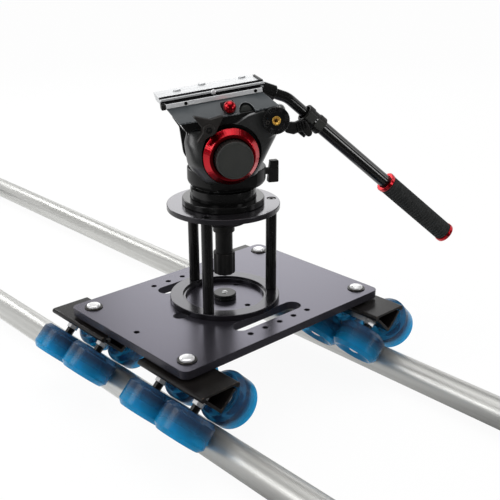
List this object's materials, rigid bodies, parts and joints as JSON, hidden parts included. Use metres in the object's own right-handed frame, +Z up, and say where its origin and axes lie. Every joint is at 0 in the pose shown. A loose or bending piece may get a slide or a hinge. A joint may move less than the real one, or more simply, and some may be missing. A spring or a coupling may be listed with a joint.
{
  "type": "camera slider",
  "caption": "Camera slider: wheeled deck that rolls on two floor tubes, with a riser and a fluid pan-and-tilt head for a camera.",
  "frame": {"origin": "on the floor, under the middle of the far end tie", "axes": "+X along the tubes to the near end tie, +Y across the tubes towards the pan bar's side, +Z up"},
  "size_m": [1.3786, 0.5078, 0.3584],
  "materials": {
    "galvanised_tube": "galvanised steel tube, satin",
    "dark_tie": "dark powder coat",
    "black_anodised": "black anodised, satin",
    "bright_steel": "bright zinc-plated steel",
    "blue_urethane": "translucent blue urethane, gloss",
    "dark_grey_casting": "dark grey painted casting",
    "silver_aluminium": "bare aluminium, satin",
    "red_anodised": "red anodised, gloss",
    "black_rubber": "black moulded plastic",
    "grip_foam": "black ribbed rubber"
  },
  "bodies": {
    "track": {"rail_front": "galvanised_tube", "rail_back": "galvanised_tube", "end_tie_far": "dark_tie", "end_tie_near": "dark_tie"},
    "carriage": {"deck_plate": "black_anodised", "truck_far_front": "black_anodised", "truck_far_back": "black_anodised", "truck_near_front": "black_anodised", "truck_near_back": "black_anodised", "pivot_bolt_far_front": "bright_steel", "pivot_bolt_far_back": "bright_steel", "pivot_bolt_near_front": "bright_steel", "pivot_bolt_near_back": "bright_steel", "riser_base": "black_anodised", "riser_top": "black_anodised", "riser_post_1": "black_anodised", "riser_post_2": "black_anodised", "riser_post_3": "black_anodised", "centre_bolt": "bright_steel", "bowl": "black_anodised"},
    "level_cup": {"level_cup": "bright_steel"},
    "ball": {"half_ball": "black_anodised"},
    "tie_down": {"tie_down_knob": "black_rubber"},
    "pan": {"pan_base": "black_anodised"},
    "pan_lock": {"pan_lock_knob": "black_rubber"},
    "tilt": {"tilt_bridge": "dark_grey_casting", "slide_bed": "silver_aluminium", "drag_cap": "black_anodised", "far_cover": "black_anodised", "rosette_near": "black_anodised", "rosette_far": "black_anodised"},
    "drag_ring": {"drag_ring": "red_anodised"},
    "tilt_lock": {"tilt_lock_lever": "black_rubber"},
    "camera_plate": {"camera_plate": "dark_grey_casting"},
    "plate_release": {"plate_release_button": "red_anodised"},
    "bar": {"bar_foot": "black_anodised", "bar_bent_tube": "black_anodised"},
    "bar_screw": {"bar_thumb_screw": "black_rubber"},
    "bar_grip": {"bar_sleeve": "black_anodised", "bar_collar": "black_anodised", "grip_front_ring": "red_anodised", "grip": "grip_foam", "grip_end_ring": "red_anodised"},
    "bar_clamp": {"bar_clamp_knob": "black_rubber"},
    "wheel_far_front_left_a": {"wheel_far_front_left_a": "blue_urethane"},
    "wheel_far_front_right_a": {"wheel_far_front_right_a": "blue_urethane"},
    "wheel_far_front_left_b": {"wheel_far_front_left_b": "blue_urethane"},
    "wheel_far_front_right_b": {"wheel_far_front_right_b": "blue_urethane"},
    "wheel_far_back_left_a": {"wheel_far_back_left_a": "blue_urethane"},
    "wheel_far_back_right_a": {"wheel_far_back_right_a": "blue_urethane"},
    "wheel_far_back_left_b": {"wheel_far_back_left_b": "blue_urethane"},
    "wheel_far_back_right_b": {"wheel_far_back_right_b": "blue_urethane"},
    "wheel_near_front_left_a": {"wheel_near_front_left_a": "blue_urethane"},
    "wheel_near_front_right_a": {"wheel_near_front_right_a": "blue_urethane"},
    "wheel_near_front_left_b": {"wheel_near_front_left_b": "blue_urethane"},
    "wheel_near_front_right_b": {"wheel_near_front_right_b": "blue_urethane"},
    "wheel_near_back_left_a": {"wheel_near_back_left_a": "blue_urethane"},
    "wheel_near_back_right_a": {"wheel_near_back_right_a": "blue_urethane"},
    "wheel_near_back_left_b": {"wheel_near_back_left_b": "blue_urethane"},
    "wheel_near_back_right_b": {"wheel_near_back_right_b": "blue_urethane"}
  },
  "joints": [
    {"name": "carriage_roll", "type": "slide", "parent": "track", "child": "carriage", "axis": [1, 0, 0], "range_m": [-0.769, 0.244]},
    {"name": "level_across", "type": "hinge", "parent": "carriage", "child": "level_cup", "pos_m": [0.9374, -0.0028, 0.23422], "axis": [1, 0, 0], "range_deg": [-10, 10]},
    {"name": "level_along", "type": "hinge", "parent": "level_cup", "child": "ball", "pos_m": [0.9374, -0.0028, 0.23422], "axis": [0, 1, 0], "range_deg": [-10, 10]},
    {"name": "tie_down_turn", "type": "hinge", "parent": "ball", "child": "tie_down", "pos_m": [0.9374, -0.0028, 0.23422], "axis": [0, 0, 1], "continuous": true},
    {"name": "pan_turn", "type": "hinge", "parent": "ball", "child": "pan", "pos_m": [0.9374, -0.0028, 0.23422], "axis": [0, 0, 1], "continuous": true},
    {"name": "pan_lock_turn", "type": "hinge", "parent": "pan", "child": "pan_lock", "pos_m": [0.95978, 0.04, 0.25322], "axis": [0.4633, 0.8862, 0], "continuous": true},
    {"name": "tilt_turn", "type": "hinge", "parent": "pan", "child": "tilt", "pos_m": [0.93647, -0.00457, 0.28592], "axis": [0.8862, -0.4633, 0], "range_deg": [-20, 45]},
    {"name": "drag_ring_turn", "type": "hinge", "parent": "tilt", "child": "drag_ring", "pos_m": [0.9775, -0.02602, 0.28592], "axis": [0.8862, -0.4633, 0], "range_deg": [-60, 60]},
    {"name": "tilt_lock_turn", "type": "hinge", "parent": "tilt", "child": "tilt_lock", "pos_m": [0.96582, -0.04838, 0.31738], "axis": [-0.8862, 0.4633, 0], "range_deg": [0, 40]},
    {"name": "camera_plate_slide", "type": "slide", "parent": "tilt", "child": "camera_plate", "axis": [-0.4598, -0.8796, -0.1219], "range_m": [-0.025, 0.025]},
    {"name": "plate_release_press", "type": "slide", "parent": "tilt", "child": "plate_release", "axis": [-0.8862, 0.4633, 0], "range_m": [0, 0.004], "stiffness_N_per_m": 600},
    {"name": "bar_angle", "type": "hinge", "parent": "tilt", "child": "bar", "pos_m": [0.95883, 0.03819, 0.32208], "axis": [-0.8862, 0.4633, 0], "range_deg": [-60, 20]},
    {"name": "bar_screw_turn", "type": "hinge", "parent": "bar", "child": "bar_screw", "pos_m": [0.89493, 0.07159, 0.32208], "axis": [-0.8862, 0.4633, 0], "continuous": true},
    {"name": "bar_extend", "type": "slide", "parent": "bar", "child": "bar_grip", "axis": [0.3502, 0.6698, -0.6547], "range_m": [0, 0.1]},
    {"name": "bar_clamp_turn", "type": "hinge", "parent": "bar_grip", "child": "bar_clamp", "pos_m": [0.94171, 0.1259, 0.28199], "axis": [0.8862, -0.4633, 0], "continuous": true},
    {"name": "wheel_far_front_left_a_spin", "type": "hinge", "parent": "carriage", "child": "wheel_far_front_left_a", "pos_m": [0.8275, -0.16317, 0.05387], "axis": [0, 0.7071, 0.7071], "continuous": true},
    {"name": "wheel_far_front_right_a_spin", "type": "hinge", "parent": "carriage", "child": "wheel_far_front_right_a", "pos_m": [0.8195, -0.09883, 0.05387], "axis": [0, 0.7071, -0.7071], "continuous": true},
    {"name": "wheel_far_front_left_b_spin", "type": "hinge", "parent": "carriage", "child": "wheel_far_front_left_b", "pos_m": [0.8885, -0.16317, 0.05387], "axis": [0, 0.7071, 0.7071], "continuous": true},
    {"name": "wheel_far_front_right_b_spin", "type": "hinge", "parent": "carriage", "child": "wheel_far_front_right_b", "pos_m": [0.8805, -0.09883, 0.05387], "axis": [0, 0.7071, -0.7071], "continuous": true},
    {"name": "wheel_far_back_left_a_spin", "type": "hinge", "parent": "carriage", "child": "wheel_far_back_left_a", "pos_m": [0.8275, 0.09883, 0.05387], "axis": [0, 0.7071, 0.7071], "continuous": true},
    {"name": "wheel_far_back_right_a_spin", "type": "hinge", "parent": "carriage", "child": "wheel_far_back_right_a", "pos_m": [0.8195, 0.16317, 0.05387], "axis": [0, 0.7071, -0.7071], "continuous": true},
    {"name": "wheel_far_back_left_b_spin", "type": "hinge", "parent": "carriage", "child": "wheel_far_back_left_b", "pos_m": [0.8885, 0.09883, 0.05387], "axis": [0, 0.7071, 0.7071], "continuous": true},
    {"name": "wheel_far_back_right_b_spin", "type": "hinge", "parent": "carriage", "child": "wheel_far_back_right_b", "pos_m": [0.8805, 0.16317, 0.05387], "axis": [0, 0.7071, -0.7071], "continuous": true},
    {"name": "wheel_near_front_left_a_spin", "type": "hinge", "parent": "carriage", "child": "wheel_near_front_left_a", "pos_m": [0.9995, -0.16317, 0.05387], "axis": [0, 0.7071, 0.7071], "continuous": true},
    {"name": "wheel_near_front_right_a_spin", "type": "hinge", "parent": "carriage", "child": "wheel_near_front_right_a", "pos_m": [0.9915, -0.09883, 0.05387], "axis": [0, 0.7071, -0.7071], "continuous": true},
    {"name": "wheel_near_front_left_b_spin", "type": "hinge", "parent": "carriage", "child": "wheel_near_front_left_b", "pos_m": [1.0605, -0.16317, 0.05387], "axis": [0, 0.7071, 0.7071], "continuous": true},
    {"name": "wheel_near_front_right_b_spin", "type": "hinge", "parent": "carriage", "child": "wheel_near_front_right_b", "pos_m": [1.0525, -0.09883, 0.05387], "axis": [0, 0.7071, -0.7071], "continuous": true},
    {"name": "wheel_near_back_left_a_spin", "type": "hinge", "parent": "carriage", "child": "wheel_near_back_left_a", "pos_m": [0.9995, 0.09883, 0.05387], "axis": [0, 0.7071, 0.7071], "continuous": true},
    {"name": "wheel_near_back_right_a_spin", "type": "hinge", "parent": "carriage", "child": "wheel_near_back_right_a", "pos_m": [0.9915, 0.16317, 0.05387], "axis": [0, 0.7071, -0.7071], "continuous": true},
    {"name": "wheel_near_back_left_b_spin", "type": "hinge", "parent": "carriage", "child": "wheel_near_back_left_b", "pos_m": [1.0605, 0.09883, 0.05387], "axis": [0, 0.7071, 0.7071], "continuous": true},
    {"name": "wheel_near_back_right_b_spin", "type": "hinge", "parent": "carriage", "child": "wheel_near_back_right_b", "pos_m": [1.0525, 0.16317, 0.05387], "axis": [0, 0.7071, -0.7071], "continuous": true}
  ],
  "couplings": [
    {"joint": "wheel_far_front_left_a_spin", "follows": "carriage_roll", "rad_per_m": 35.088},
    {"joint": "wheel_far_front_right_a_spin", "follows": "carriage_roll", "rad_per_m": 35.088},
    {"joint": "wheel_far_front_left_b_spin", "follows": "carriage_roll", "rad_per_m": 35.088},
    {"joint": "wheel_far_front_right_b_spin", "follows": "carriage_roll", "rad_per_m": 35.088},
    {"joint": "wheel_far_back_left_a_spin", "follows": "carriage_roll", "rad_per_m": 35.088},
    {"joint": "wheel_far_back_right_a_spin", "follows": "carriage_roll", "rad_per_m": 35.088},
    {"joint": "wheel_far_back_left_b_spin", "follows": "carriage_roll", "rad_per_m": 35.088},
    {"joint": "wheel_far_back_right_b_spin", "follows": "carriage_roll", "rad_per_m": 35.088},
    {"joint": "wheel_near_front_left_a_spin", "follows": "carriage_roll", "rad_per_m": 35.088},
    {"joint": "wheel_near_front_right_a_spin", "follows": "carriage_roll", "rad_per_m": 35.088},
    {"joint": "wheel_near_front_left_b_spin", "follows": "carriage_roll", "rad_per_m": 35.088},
    {"joint": "wheel_near_front_right_b_spin", "follows": "carriage_roll", "rad_per_m": 35.088},
    {"joint": "wheel_near_back_left_a_spin", "follows": "carriage_roll", "rad_per_m": 35.088},
    {"joint": "wheel_near_back_right_a_spin", "follows": "carriage_roll", "rad_per_m": 35.088},
    {"joint": "wheel_near_back_left_b_spin", "follows": "carriage_roll", "rad_per_m": 35.088},
    {"joint": "wheel_near_back_right_b_spin", "follows": "carriage_roll", "rad_per_m": 35.088}
  ]
}
